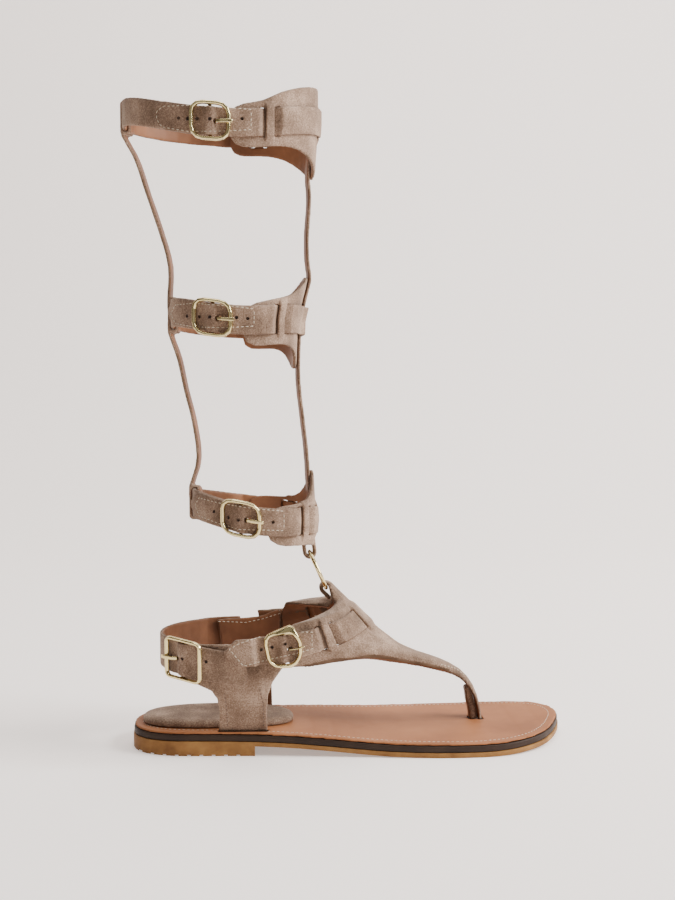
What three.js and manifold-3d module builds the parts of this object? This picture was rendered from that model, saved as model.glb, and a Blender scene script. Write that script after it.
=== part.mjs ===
import * as THREE from 'three';
import { mergeVertices } from 'three/addons/utils/BufferGeometryUtils.js';
import Module from 'manifold-3d';

const wasm = await Module();
wasm.setup();

// Millimetres; origin on the floor under the middle of the heel, toe along +X, inner side of the foot +Y
const gap = 0.3;
const wall = 2;
const strapThickness = 1.8;
const overWall = wall + gap;
const overBar = 4.6;
const overStrap = 5;
const inWindow = -0.9;
const bridgeFloor = inWindow + strapThickness + gap;
const windowRamp = 4.4;
const windowMargin = 0.4;
const bridgeReach = 3.2;
const upStrapHalfWidth = 4;
const upStrapOnPanel = 3.4;
const upStrapInside = -1.4;
const hoopWall = 1.6;
const hoopGap = 0.6;
const tidyTolerance = 0.03;

// Sole stations from heel to toe: edges, height of the outsole above the floor and its thickness
const soleRows = numbered([
  { x: -29, lateral: -5, medial: 5, floor: 6, outsole: 2.4 },
  { x: -27.3, lateral: -11.5, medial: 11.5, floor: 6, outsole: 2.4 },
  { x: -23.5, lateral: -17.5, medial: 17.5, floor: 6, outsole: 2.4 },
  { x: -16.5, lateral: -23, medial: 23, floor: 6, outsole: 2.4 },
  { x: -4, lateral: -27.3, medial: 27.3, floor: 6, outsole: 2.4 },
  { x: 14, lateral: -29, medial: 29, floor: 6, outsole: 2.4 },
  { x: 41, lateral: -31.2, medial: 31, floor: 5.6, outsole: 2.4 },
  { x: 66, lateral: -34.2, medial: 34, floor: 4.6, outsole: 2.4 },
  { x: 92, lateral: -37.4, medial: 39, floor: 2.5, outsole: 2.5 },
  { x: 118, lateral: -41, medial: 43, floor: 0.5, outsole: 2.7 },
  { x: 145, lateral: -44.6, medial: 45.2, floor: 0, outsole: 2.8 },
  { x: 170, lateral: -45.2, medial: 45.8, floor: 0, outsole: 2.8 },
  { x: 186, lateral: -42.8, medial: 44.6, floor: 0.4, outsole: 2.8 },
  { x: 198, lateral: -37.5, medial: 42.2, floor: 1, outsole: 2.8 },
  { x: 208, lateral: -30, medial: 39.2, floor: 1.6, outsole: 2.8 },
  { x: 215.5, lateral: -20, medial: 35.8, floor: 2.1, outsole: 2.8 },
  { x: 221, lateral: -9, medial: 30, floor: 2.6, outsole: 2.8 },
  { x: 224.5, lateral: 0.5, medial: 23.5, floor: 2.9, outsole: 2.8 },
  { x: 226, lateral: 7, medial: 15, floor: 3, outsole: 2.8 },
]);
const heelRow = 6;
const soleGap = 0.25;
const midsoleThickness = 3.5;
const insoleThickness = 1.2;
const insoleInset = 0.8;
const groovePitch = 7;
const grooveWidth = 2;
const grooveDepth = 0.8;
const grooveFirst = -24.5;
const grooveCount = 9;

const pad = { middle: 20.5, halfLength: 44.5, halfWidth: 21, height: 4.6, squareness: 0.8 };
const padRings = [
  { reach: 0.5, rise: 1 },
  { reach: 0.84, rise: 0.98 },
  { reach: 0.95, rise: 0.86 },
  { reach: 1, rise: 0.52 },
  { reach: 0.985, rise: 0 },
  { reach: 0.55, rise: 0 },
  { reach: 0.15, rise: 0 },
];

// Ankle: half an oval behind the middle, a longer one in front, wider with height
const ankle = { middle: 32, back: 42.4, front: 90 };
const ankleRows = [
  { z: 8, half: 22.2 },
  { z: 12, half: 22.9 },
  { z: 26, half: 29 },
  { z: 38, half: 33.6 },
  { z: 46, half: 35.2 },
  { z: 56, half: 35.6 },
  { z: 75, half: 35.2 },
];

// Quarter: paired points of its lower and upper edges from the heel bar to the instep bar
const quarterRows = [
  { lowX: 0.2, lowZ: 44.5, highX: 0.2, highZ: 64.5 },
  { lowX: 5, lowZ: 43.5, highX: 4, highZ: 65 },
  { lowX: 11, lowZ: 41.5, highX: 9, highZ: 65.3 },
  { lowX: 17, lowZ: 39, highX: 14, highZ: 65.5 },
  { lowX: 20.2, lowZ: 34, highX: 20, highZ: 65.8 },
  { lowX: 21.3, lowZ: 25, highX: 26, highZ: 66 },
  { lowX: 20.8, lowZ: 12.7, highX: 31, highZ: 66.3 },
  { lowX: 34, lowZ: 12.7, highX: 36, highZ: 66.8 },
  { lowX: 48.2, lowZ: 12.7, highX: 42, highZ: 67.8 },
  { lowX: 47.8, lowZ: 26, highX: 47, highZ: 69.3 },
  { lowX: 48.3, lowZ: 36, highX: 51, highZ: 70.3 },
  { lowX: 51, lowZ: 44, highX: 54, highZ: 70.8 },
  { lowX: 55.5, lowZ: 50.5, highX: 56.5, highZ: 71 },
  { lowX: 58.4, lowZ: 54.4, highX: 58.4, highZ: 70.4 },
];
const stemSlots = [
  { from: 20.3, to: 48.7, near: -26.6, far: -22.3 },
  { from: 28.4, to: 53.5, near: 22.3, far: 26.6 },
];
const medialQuarterStart = 3;
const medialQuarterShift = 9;

const heelStrap = { half: 9.4, lateralEnd: 36.5, medialEnd: 34, corner: 4, lift: 0.4 };
const heelLine = [{ x: 36.5, z: 52 }, { x: 2, z: 57 }, { x: -10, z: 57.3 }];
const heelBuckle = { barX: 3.6, width: 23, height: 24.4, wire: 2.3, corner: 2.6, facing: 1 };

// Vamp stations from the ring tab to the toe: ridge line, then the edge on each side of it
const vampRows = numbered([
  { ridgeX: 85.6, ridgeZ: 92.6, ridgeY: 0, edgeX: 85, half: 5, edgeZ: 92.2 },
  { ridgeX: 89, ridgeZ: 89.2, ridgeY: 0, edgeX: 87.4, half: 6, edgeZ: 86.2 },
  { ridgeX: 92.6, ridgeZ: 85.7, ridgeY: 0, edgeX: 87.2, half: 10, edgeZ: 76.2 },
  { ridgeX: 97, ridgeZ: 81.2, ridgeY: 0, edgeX: 61.6, half: 33.1, edgeZ: 74 },
  { ridgeX: 104, ridgeZ: 74, ridgeY: 0, edgeX: 59.9, half: 33.9, edgeZ: 63.5 },
  { ridgeX: 112, ridgeZ: 66.5, ridgeY: 0, edgeX: 61.2, half: 33.3, edgeZ: 52.8 },
  { ridgeX: 120, ridgeZ: 60, ridgeY: 0, edgeX: 84, half: 27.5, edgeZ: 54 },
  { ridgeX: 128.5, ridgeZ: 53.8, ridgeY: 0.3, edgeX: 102, half: 19.8, edgeZ: 54.4 },
  { ridgeX: 140, ridgeZ: 48.5, ridgeY: 1.5, edgeX: 119, half: 12.2, edgeZ: 50.2 },
  { ridgeX: 153, ridgeZ: 43.6, ridgeY: 4, edgeX: 139, half: 8, edgeZ: 45.2 },
  { ridgeX: 164.5, ridgeZ: 36.6, ridgeY: 8, edgeX: 160, half: 4.8, edgeZ: 37.6 },
  { ridgeX: 172, ridgeZ: 27.5, ridgeY: 9.6, edgeX: 171, half: 3.6, edgeZ: 27.6 },
  { ridgeX: 175.6, ridgeZ: 17, ridgeY: 10, edgeX: 175.4, half: 3.3, edgeZ: 17 },
  { ridgeX: 177.2, ridgeZ: 7.4, ridgeY: 10, edgeX: 177, half: 3.3, edgeZ: 7.4 },
]);
const vampLean = { x: 0.08, z: 0.12 };
const beltRow = 4;
const rowSpacing = 12;
const instepStrap = { half: 7.7, tipX: 25, medialEnd: 46, rise: 0.06, shear: 0.2, restX: 38.5, lift: 0.35 };
const instepBuckle = { barX: 56.9, width: 21.4, height: 20.8, wire: 2.4, corner: 5.4, facing: 1 };
const instepBridges = [{ at: -40, half: 2.3 }, { at: 0, half: 11.5 }, { at: 40, half: 2.3 }];
const post = { fromRow: 10.9, toRow: 12.92, fullRow: 11.6, half: 3.2, clear: 1.2, tip: 2, depth: 3.6 };
const postHoles = [{ from: 171.7, to: 177, near: 6.2, far: 13.8 }, { from: 176.6, to: 179.7, near: 4.4, far: 15.6 }];

const ring = { x: 79.2, z: 101.6, radius: 11.75, tube: 1.25, axisX: 0.912, axisZ: 0.41 };
const fold = { inner: 1.95, half: 3.1, tail: 6 };

// Leg cuffs, top first: oval, height and slope, then angles from the front round the outer side
const cuffs = [
  {
    name: 'top', middle: 23.8, deep: 53.7, half: 49, level: 361, tilt: -0.04, roll: 0, sag: 9,
    leanUp: 0, leanDown: 0.065, twist: 8, strapHalf: 7.5, bar: 103, tip: 136, pointed: false,
    bridge: 69, frontBridge: 7, frontOver: 0, innerShare: 0.83,
  },
  {
    name: 'middle', middle: 31, deep: 34.6, half: 36, level: 249.2, tilt: -0.06, roll: -0.1, sag: 5.4,
    leanUp: 0.24, leanDown: 0.03, twist: 8, strapHalf: 8, bar: 117, tip: 173, pointed: true,
    bridge: 54, frontBridge: 0, frontOver: 5, innerShare: 0.8,
  },
  {
    name: 'lower', middle: 42, deep: 34.1, half: 32.5, level: 137, tilt: -0.155, roll: -0.09, sag: 4.4,
    leanUp: -0.05, leanDown: 0.08, twist: 4, strapHalf: 7.9, bar: 106.5, tip: 167, pointed: true,
    bridge: 41, frontBridge: 4.2, frontOver: 0, innerShare: 1.1,
  },
];
const sagPower = 2.5;
const backAngle = 168;
const cuffBuckle = { width: 20.6, height: 21.2, wire: 2.4, corner: 5.6, facing: 1 };
const barSection = 1.9;
const frameDepth = 2.6;

// Front panel edges above and below the strap line, by angle from the centre front
const panelEdges = {
  top: [
    { angle: 0, above: 19.4, below: -30 },
    { angle: 12, above: 19.3, below: -27 },
    { angle: 26, above: 18.9, below: -22 },
    { angle: 44, above: 17.9, below: -16 },
    { angle: 60, above: 15.8, below: -13.2 },
    { angle: 73, above: 11.8, below: -12.8 },
    { angle: 84, above: 10.3, below: -12.6 },
    { angle: 89, above: 8.5, below: -11 },
    { angle: 92, above: 5, below: -7 },
  ],
  middle: [
    { angle: 0, above: 26, below: -27 },
    { angle: 8, above: 24.6, below: -25.5 },
    { angle: 18, above: 21.5, below: -21.5 },
    { angle: 30, above: 17.5, below: -17 },
    { angle: 46, above: 13.2, below: -14.3 },
    { angle: 62, above: 11.5, below: -14 },
    { angle: 80, above: 9.5, below: -14 },
    { angle: 88, above: 7, below: -12 },
    { angle: 91, above: 3.5, below: -7 },
  ],
  lower: [
    { angle: 0, above: 29, below: -15 },
    { angle: 6, above: 27, below: -15 },
    { angle: 15, above: 21.5, below: -15 },
    { angle: 28, above: 14.5, below: -14.5 },
    { angle: 42, above: 11, below: -14 },
    { angle: 58, above: 9.6, below: -13.8 },
    { angle: 72, above: 8.4, below: -13 },
    { angle: 80, above: 5.5, below: -10.5 },
    { angle: 83, above: 2, below: -6.5 },
  ],
};

// Free runs of the upright straps between the cuffs
const frontRuns = {
  upper: [{ x: 74.6, y: 6.6, z: 318 }, { x: 73.2, y: 6, z: 296 }, { x: 73.4, y: 5.4, z: 282 }],
  lower: [{ x: 68.2, y: 4.4, z: 210 }, { x: 70.4, y: 3.6, z: 190 }, { x: 72.4, y: 3, z: 172 }],
};
const backRuns = {
  upper: [
    { x: -24.2, y: 9, z: 340 },
    { x: -18, y: 8.6, z: 321 },
    { x: -11, y: 8, z: 300 },
    { x: -5.4, y: 7.6, z: 279 },
  ],
  lower: [
    { x: -0.8, y: 7.4, z: 226 },
    { x: 3, y: 7.2, z: 208 },
    { x: 8, y: 7, z: 187 },
    { x: 10, y: 6.8, z: 166 },
  ],
};

const suede = { color: '#a18d80', roughness: 0.92, metalness: 0 };
const gold = { color: '#d9c795', roughness: 0.24, metalness: 1 };
const finishes = {
  outsole: { color: '#a27c4e', roughness: 0.8, metalness: 0 },
  midsole: { color: '#3a2b25', roughness: 0.75, metalness: 0 },
  insole: { color: '#a8714d', roughness: 0.55, metalness: 0 },
};

function numbered(rows) {
  return rows.map((row, place) => ({ ...row, row: place }));
}

// Smooth value of one column of a table at a place along another column
function curve(rows, key, column, at) {
  const last = rows.length - 1;
  const x = THREE.MathUtils.clamp(at, rows[0][key], rows[last][key]);
  let i = 0;
  while (i < last - 1 && rows[i + 1][key] < x) i += 1;
  const slope = (k) => {
    const a = rows[Math.max(k - 1, 0)];
    const b = rows[Math.min(k + 1, last)];
    return (b[column] - a[column]) / (b[key] - a[key]);
  };
  const span = rows[i + 1][key] - rows[i][key];
  const t = (x - rows[i][key]) / span;
  const ease = t * t * (3 - 2 * t);
  const start = rows[i][column] * (1 - ease) + rows[i + 1][column] * ease;
  const bend = t * (1 - t) * span * (slope(i) * (1 - t) - slope(i + 1) * t);
  return start + bend;
}

// Straight value between the points of a short run of levels
function level(points, at) {
  const order = points[0].at < points[points.length - 1].at ? points : [...points].reverse();
  if (at <= order[0].at) return order[0].r;
  for (let i = 0; i + 1 < order.length; i += 1) {
    if (at <= order[i + 1].at) {
      const t = (at - order[i].at) / (order[i + 1].at - order[i].at);
      return order[i].r + (order[i + 1].r - order[i].r) * t;
    }
  }
  return order[order.length - 1].r;
}

function spread(from, to, count) {
  return Array.from({ length: count + 1 }, (_, i) => from + ((to - from) * i) / count);
}

// Stations along a strap: every listed place, with no step longer than the limit
function stations(places, limit) {
  const sorted = [...places].sort((a, b) => a - b).filter((p, i, all) => i === 0 || p - all[i - 1] > 0.05);
  const out = [sorted[0]];
  for (let i = 1; i < sorted.length; i += 1) {
    const parts = Math.ceil((sorted[i] - sorted[i - 1]) / limit);
    for (let k = 1; k <= parts; k += 1) out.push(sorted[i - 1] + ((sorted[i] - sorted[i - 1]) * k) / parts);
  }
  return out;
}

function closedBody(points, faces) {
  let volume = 0;
  for (let i = 0; i < faces.length; i += 3) {
    const [a, b, c] = [points[faces[i]], points[faces[i + 1]], points[faces[i + 2]]];
    volume += a.dot(b.clone().cross(c));
  }
  const ordered = volume < 0 ? [...faces].reverse() : faces;
  const geometry = new THREE.BufferGeometry().setFromPoints(points);
  geometry.setIndex(ordered);
  return geometry;
}

// Sheet with thickness over a grid: side 0 is its inner face, side 1 its outer face
function slab(us, vs, place) {
  const columns = us.length;
  const rows = vs.length;
  const points = [];
  for (const side of [0, 1]) {
    for (const u of us) {
      for (const v of vs) points.push(place(u, v, side));
    }
  }
  const at = (side, i, j) => (side * columns + i) * rows + j;
  const faces = [];
  const quad = (a, b, c, d) => faces.push(a, b, c, a, c, d);
  const right = columns - 1;
  const top = rows - 1;
  for (let i = 0; i < right; i += 1) {
    for (let j = 0; j < top; j += 1) {
      quad(at(1, i, j), at(1, i + 1, j), at(1, i + 1, j + 1), at(1, i, j + 1));
      quad(at(0, i, j), at(0, i, j + 1), at(0, i + 1, j + 1), at(0, i + 1, j));
    }
    quad(at(0, i, 0), at(0, i + 1, 0), at(1, i + 1, 0), at(1, i, 0));
    quad(at(0, i, top), at(1, i, top), at(1, i + 1, top), at(0, i + 1, top));
  }
  for (let j = 0; j < top; j += 1) {
    quad(at(0, 0, j), at(1, 0, j), at(1, 0, j + 1), at(0, 0, j + 1));
    quad(at(0, right, j), at(0, right, j + 1), at(1, right, j + 1), at(1, right, j));
  }
  return closedBody(points, faces);
}

// Body through a run of closed rings of points, either capped at both ends or joined up
function sweep(rings, joined) {
  const count = rings[0].length;
  const points = rings.flat();
  const faces = [];
  const steps = joined ? rings.length : rings.length - 1;
  for (let i = 0; i < steps; i += 1) {
    const next = (i + 1) % rings.length;
    for (let j = 0; j < count; j += 1) {
      const k = (j + 1) % count;
      const [a, b, c, d] = [i * count + j, next * count + j, next * count + k, i * count + k];
      faces.push(a, b, c, a, c, d);
    }
  }
  if (!joined) {
    const end = (rings.length - 1) * count;
    for (let j = 1; j + 1 < count; j += 1) {
      faces.push(0, j, j + 1);
      faces.push(end, end + j + 1, end + j);
    }
  }
  return closedBody(points, faces);
}

function toSolid(geometry) {
  const bare = geometry.clone();
  bare.deleteAttribute('normal');
  bare.deleteAttribute('uv');
  const merged = mergeVertices(bare, 1e-4);
  return new wasm.Manifold(new wasm.Mesh({
    numProp: 3,
    vertProperties: new Float32Array(merged.attributes.position.array),
    triVerts: new Uint32Array(merged.index.array),
  }));
}

function fromSolid(body) {
  const mesh = body.getMesh();
  const geometry = new THREE.BufferGeometry();
  geometry.setAttribute('position', new THREE.BufferAttribute(new Float32Array(mesh.vertProperties), 3));
  geometry.setIndex([...mesh.triVerts]);
  return geometry;
}

function joined(geometries) {
  return fromSolid(geometries.map(toSolid).reduce((a, b) => a.add(b)).simplify(tidyTolerance));
}

function cut(geometry, cutters) {
  const body = cutters.map(toSolid).reduce((a, b) => a.subtract(b), toSolid(geometry));
  return fromSolid(body.simplify(tidyTolerance));
}

// Sole layers over the station table
function soleAt(row, column) {
  const value = curve(soleRows, 'row', column, row);
  return column === 'floor' ? Math.max(value, 0) : value;
}

function soleRowAt(x) {
  let low = 0;
  let high = soleRows.length - 1;
  for (let i = 0; i < 30; i += 1) {
    const middle = (low + high) / 2;
    if (soleAt(middle, 'x') < x) low = middle;
    else high = middle;
  }
  return low;
}

function outsoleTop(row) {
  return soleAt(row, 'floor') + soleAt(row, 'outsole');
}

function midsoleTop(row) {
  return outsoleTop(row) + soleGap + midsoleThickness;
}

function insoleTop(row) {
  return midsoleTop(row) + soleGap + insoleThickness;
}

function soleLayer(rows, across, inset, bottom, top) {
  const middleX = 98;
  const reach = 128;
  return slab(rows, across, (row, v, side) => {
    const x = soleAt(row, 'x');
    const lateral = soleAt(row, 'lateral') + inset;
    const medial = soleAt(row, 'medial') - inset;
    const y = lateral + (medial - lateral) * v;
    const drawn = x - (inset * (x - middleX)) / reach;
    return new THREE.Vector3(drawn, y, side ? top(row) : bottom(row));
  });
}

function box(x0, x1, y0, y1, z0, z1) {
  const geometry = new THREE.BoxGeometry(x1 - x0, y1 - y0, z1 - z0);
  geometry.translate((x0 + x1) / 2, (y0 + y1) / 2, (z0 + z1) / 2);
  return geometry;
}

function makeOutsole() {
  const rows = spread(0, soleRows.length - 1, 36);
  const across = spread(0, 1, 2);
  const sheet = soleLayer(rows, across, 0, (row) => soleAt(row, 'floor'), outsoleTop);
  const heelRows = spread(0, heelRow, 12);
  const heel = soleLayer(heelRows, across, 0, () => 0, (row) => soleAt(row, 'floor') + 1);
  const grooves = Array.from({ length: grooveCount }, (_, i) => {
    const x = grooveFirst + groovePitch * i;
    return box(x - grooveWidth / 2, x + grooveWidth / 2, -60, 60, -1, grooveDepth);
  });
  return joined([sheet, cut(heel, grooves)]);
}

function makeMidsole() {
  const rows = spread(0, soleRows.length - 1, 36);
  return soleLayer(rows, spread(0, 1, 2), 0.4, (row) => outsoleTop(row) + soleGap, midsoleTop);
}

function makeInsole() {
  const rows = spread(0, soleRows.length - 1, 36);
  const sheet = soleLayer(rows, spread(0, 1, 2), insoleInset, (row) => midsoleTop(row) + soleGap, insoleTop);
  const slots = stemSlots.map(({ from, to, near, far }) => box(from, to, near, far, 0, 30));
  const openings = postHoles.map(({ from, to, near, far }) => box(from, to, near, far, 0, 30));
  return cut(sheet, [...slots, ...openings]);
}

function makePad() {
  const around = 32;
  const rings = padRings.map(({ reach, rise }) => Array.from({ length: around }, (_, i) => {
    const turn = (2 * Math.PI * i) / around;
    const squared = (value) => Math.sign(value) * Math.abs(value) ** pad.squareness;
    const x = pad.middle + pad.halfLength * reach * squared(Math.cos(turn));
    const y = pad.halfWidth * reach * squared(Math.sin(turn));
    return new THREE.Vector3(x, y, insoleTop(soleRowAt(x)) + soleGap + pad.height * rise);
  }));
  return sweep(rings, false);
}

// Ankle surface: turn 0 points forward, 90 to the outer side, 180 to the back, 270 to the inner side
function ankleAt(turn, z, r) {
  const half = curve(ankleRows, 'z', 'half', z);
  const deep = Math.cos(turn) > 0 ? ankle.front : ankle.back;
  const normal = new THREE.Vector3(Math.cos(turn) / deep, -Math.sin(turn) / half, 0).normalize();
  const point = new THREE.Vector3(ankle.middle + deep * Math.cos(turn), -half * Math.sin(turn), z);
  return point.addScaledVector(normal, r);
}

function ankleTurn(x) {
  const deep = x > ankle.middle ? ankle.front : ankle.back;
  return Math.acos(THREE.MathUtils.clamp((x - ankle.middle) / deep, -1, 1));
}

function ankleSide(x, z, r, side) {
  const point = ankleAt(ankleTurn(x), z, r);
  point.y *= side;
  return point;
}

// Quarter on the outer side (1) or the inner side (-1)
function makeQuarter(side) {
  const rows = side > 0 ? quarterRows : quarterRows.slice(medialQuarterStart);
  const shift = (x) => (side > 0 ? x : x + medialQuarterShift * Math.sin((Math.PI * x) / 58.4));
  return slab(rows, spread(0, 1, 6), (row, v, outer) => {
    const x = shift(row.lowX * (1 - v) + row.highX * v);
    const z = row.lowZ * (1 - v) + row.highZ * v;
    return ankleSide(x, z, outer * wall, side);
  });
}

// Straps in their own coordinates: along, across and out from the surface they lie on
function strapBody(place, levels, half, limit, extra = []) {
  const along = stations([...levels.map((row) => row.at), ...extra], limit);
  return slab(along, [-1, 0, 1], (s, v, side) => {
    const r = level(levels, s) + side * strapThickness;
    return place(s, v * half(s), r);
  });
}

function block(place, s0, s1, h, r0, r1) {
  return slab(stations([s0, s1], 6), [-h, 0, h], (s, v, side) => place(s, v, side ? r1 : r0));
}

function frameRing(place, at, size) {
  const half = { s: (size.width - size.wire) / 2, h: (size.height - size.wire) / 2 };
  const rings = [];
  for (let corner = 0; corner < 4; corner += 1) {
    for (let step = 0; step <= 3; step += 1) {
      const turn = (Math.PI / 2) * (corner + step / 3);
      const way = { s: Math.cos(turn), h: Math.sin(turn) };
      const centre = {
        s: Math.sign(Math.cos(Math.PI / 4 + (Math.PI / 2) * corner)) * (half.s - size.corner),
        h: Math.sign(Math.sin(Math.PI / 4 + (Math.PI / 2) * corner)) * (half.h - size.corner),
      };
      rings.push(Array.from({ length: 6 }, (_, k) => {
        const spin = (Math.PI / 3) * k;
        const out = size.corner + (size.wire / 2) * Math.cos(spin);
        const r = overWall + strapThickness + gap + frameDepth * (0.5 + Math.sin(spin) / Math.sqrt(3));
        return place(at + centre.s + way.s * out, centre.h + way.h * out, r);
      }));
    }
  }
  return sweep(rings, true);
}

function makeFrame(place, at, size, strapHalf) {
  const frameMiddle = overWall + strapThickness + gap + frameDepth / 2;
  const barMiddle = overWall + barSection / 2;
  const end = size.height / 2 - size.wire / 2;
  const bend = strapHalf + 0.5;
  const path = [
    { h: -end, r: frameMiddle },
    { h: -bend, r: barMiddle },
    { h: bend, r: barMiddle },
    { h: end, r: frameMiddle },
  ];
  const bar = sweep(path.map(({ h, r }) => [[-1, -1], [1, -1], [1, 1], [-1, 1]].map(([s, up]) => place(
    at + (s * barSection) / 2,
    h,
    r + (up * barSection) / 2,
  ))), false);
  return joined([frameRing(place, at, size), bar]);
}

function makeProng(place, at, size) {
  const top = overWall + strapThickness + frameDepth + 2 * gap;
  const thick = 1.3;
  const path = [
    { s: 3, r: overWall + 0.9, lean: 0.8 },
    { s: 3.5, r: overBar + 1.2, lean: 0.8 },
    { s: 5.2, r: top - 0.2, lean: 0.45 },
    { s: size.width / 2 - 1.4, r: top + 0.9, lean: 0.1 },
    { s: size.width / 2 + 0.5, r: top + 0.6, lean: -0.1 },
  ];
  return sweep(path.map(({ s, r, lean }) => [[-1, -1], [1, -1], [1, 1], [-1, 1]].map(([h, up]) => place(
    at + size.facing * (s - up * lean * thick * 0.5),
    h * 0.95,
    r + up * thick * 0.5 * (1 - Math.abs(lean) * 0.6),
  ))), false);
}

function prongHole(place, at, size) {
  const [a, b] = [at + size.facing * 1.7, at + size.facing * 5.2];
  return block(place, Math.min(a, b), Math.max(a, b), 1.4, overWall - 0.15, overBar + strapThickness + 0.6);
}

// Strap levels where it rises over a buckle bar
function barLevels(at) {
  return [
    { at: at + 4.2, r: overWall },
    { at: at + 1.5, r: overBar },
    { at: at - 1.5, r: overBar },
    { at: at - 4.2, r: overWall },
  ];
}

// Strap levels where it dips through a window under a bridge
function windowLevels({ at, half }) {
  return [
    { at: at + half + windowRamp, r: overWall },
    { at: at + half + 0.3, r: inWindow },
    { at: at - half - 0.3, r: inWindow },
    { at: at - half - windowRamp, r: overWall },
  ];
}

// Panel with windows cut through it and a raised bridge left across each window
function weave(panel, place, bridges, strapHalf) {
  const open = strapHalf + windowMargin;
  const windows = bridges.map(({ at, half }) => {
    const reach = half + windowRamp - 0.2;
    return block(place, at - reach, at + reach, open, -1.5, wall + 1.5);
  });
  const strips = bridges.map(({ at, half }) => {
    const heights = [-open - bridgeReach, -open - 0.1, 0, open + 0.1, open + bridgeReach];
    const rise = [0.1, bridgeFloor, bridgeFloor, bridgeFloor, 0.1];
    const along = stations([at - half, at + half], 4);
    return slab(along, spread(0, 4, 4), (s, k, side) => place(s, heights[k], rise[k] + (side ? wall : 0)));
  });
  return joined([cut(panel, windows), ...strips]);
}

// Arc lengths along a curve of points, and the parameter at a given length
function measured(pointAt, from, to, steps) {
  const lengths = [0];
  let last = pointAt(from);
  for (let i = 1; i <= steps; i += 1) {
    const next = pointAt(from + ((to - from) * i) / steps);
    lengths.push(lengths[i - 1] + last.distanceTo(next));
    last = next;
  }
  const total = lengths[steps];
  const parameter = (length) => {
    let i = 0;
    while (i < steps - 1 && lengths[i + 1] < length) i += 1;
    const t = (length - lengths[i]) / (lengths[i + 1] - lengths[i]);
    return from + ((to - from) * (i + t)) / steps;
  };
  const lengthAt = (value) => {
    const place = (steps * (value - from)) / (to - from);
    const i = Math.min(Math.floor(place), steps - 1);
    return lengths[i] + (lengths[i + 1] - lengths[i]) * (place - i);
  };
  return { total, parameter, lengthAt };
}

// Heel strap: from the inner quarter round the back, through its buckle and over the outer quarter
const heelRun = measured((turn) => ankleAt(turn, 54, 0), 0.9, 2 * Math.PI - 0.9, 400);
const heelLateral = heelRun.lengthAt(ankleTurn(heelStrap.lateralEnd));
const heelMedial = heelRun.lengthAt(2 * Math.PI - ankleTurn(heelStrap.medialEnd));
const heelBar = heelRun.lengthAt(ankleTurn(heelBuckle.barX));

function heelPlace(s, h, r) {
  const turn = heelRun.parameter(s);
  const lateral = turn < Math.PI;
  const line = heelLine.map(({ x, z }) => ({ at: ankleTurn(x), r: z }));
  const z = (lateral ? level(line, turn) : heelLine[2].z) + h;
  return ankleAt(turn, z, r + heelStrap.lift);
}

function roundedHalf(half, corner, fromEnd) {
  if (fromEnd >= corner) return half;
  const short = corner - fromEnd;
  return half - corner + Math.sqrt(Math.max(corner * corner - short * short, 0));
}

function makeHeelStrap() {
  const quarterEnd = heelRun.lengthAt(ankleTurn(quarterRows[0].highX));
  const medialQuarter = heelRun.lengthAt(2 * Math.PI - ankleTurn(quarterRows[medialQuarterStart].highX + 3));
  const levels = [
    { at: heelLateral, r: overWall },
    ...barLevels(heelBar).reverse(),
    { at: quarterEnd + 3, r: overWall },
    { at: quarterEnd + 14, r: 0.8 },
    { at: medialQuarter - 8, r: 0.8 },
    { at: medialQuarter - 2, r: overWall },
    { at: heelMedial, r: overWall },
  ];
  const ends = [0.6, 1.6, 2.8, heelStrap.corner].map((step) => heelLateral + step);
  const half = (s) => roundedHalf(heelStrap.half, heelStrap.corner, s - heelLateral);
  const body = strapBody(heelPlace, levels, half, 7, ends);
  return cut(body, [prongHole(heelPlace, heelBar, heelBuckle)]);
}

// Vamp surface: station along the ridge, and -1 to 1 across from the outer edge to the inner edge
function vampPoint(row, v) {
  const value = (column) => curve(vampRows, 'row', column, row);
  const ridge = new THREE.Vector3(value('ridgeX'), 0, value('ridgeZ'));
  const edge = new THREE.Vector3(value('edgeX'), value('half'), value('edgeZ'));
  const shoulder = new THREE.Vector3(
    ridge.x + (edge.x - ridge.x) * vampLean.x,
    edge.y,
    ridge.z + (edge.z - ridge.z) * vampLean.z,
  );
  const t = Math.abs(v);
  const point = ridge.multiplyScalar((1 - t) ** 2);
  point.addScaledVector(shoulder, 2 * t * (1 - t));
  point.addScaledVector(edge, t * t);
  point.y = value('ridgeY') + Math.sign(v) * point.y;
  return point;
}

function vampAt(row, v, r) {
  const step = 0.02;
  const last = vampRows.length - 1;
  const side = Math.abs(v) < step ? step : v;
  const inner = Math.sign(side) * Math.min(Math.abs(side), 1 - step);
  const forward = vampPoint(Math.min(row + step, last), inner).sub(vampPoint(Math.max(row - step, 0), inner));
  const across = vampPoint(row, inner + step).sub(vampPoint(row, inner - step));
  const normal = forward.cross(across).normalize();
  if (Math.abs(v) < step) normal.setY(0).normalize();
  return vampPoint(row, v).addScaledVector(normal, r);
}

const vampRun = measured((t) => vampPoint(beltRow, t), 0, 1, 200);
const instepBar = -vampRun.total - (vampRows[beltRow].edgeX - instepBuckle.barX);

// Instep strap: over the vamp along its belt row, then back over the quarters
function instepPlace(s, h, r) {
  const length = Math.abs(s);
  const side = s < 0 ? 1 : -1;
  const beyond = length - vampRun.total;
  const lift = instepStrap.lift * THREE.MathUtils.smoothstep(beyond, -14, -7);
  const onVamp = vampAt(
    beltRow - h / rowSpacing,
    -side * vampRun.parameter(Math.min(length, vampRun.total)),
    r + lift,
  );
  if (beyond <= 0) return onVamp;
  onVamp.x -= beyond;
  const x = vampRows[beltRow].edgeX - beyond;
  const z = vampRows[beltRow].edgeZ - beyond * instepStrap.rise + h;
  const onAnkle = ankleSide(x - h * instepStrap.shear, z, r + lift, side);
  return onVamp.lerp(onAnkle, THREE.MathUtils.smoothstep(beyond, 0, 9));
}

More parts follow.
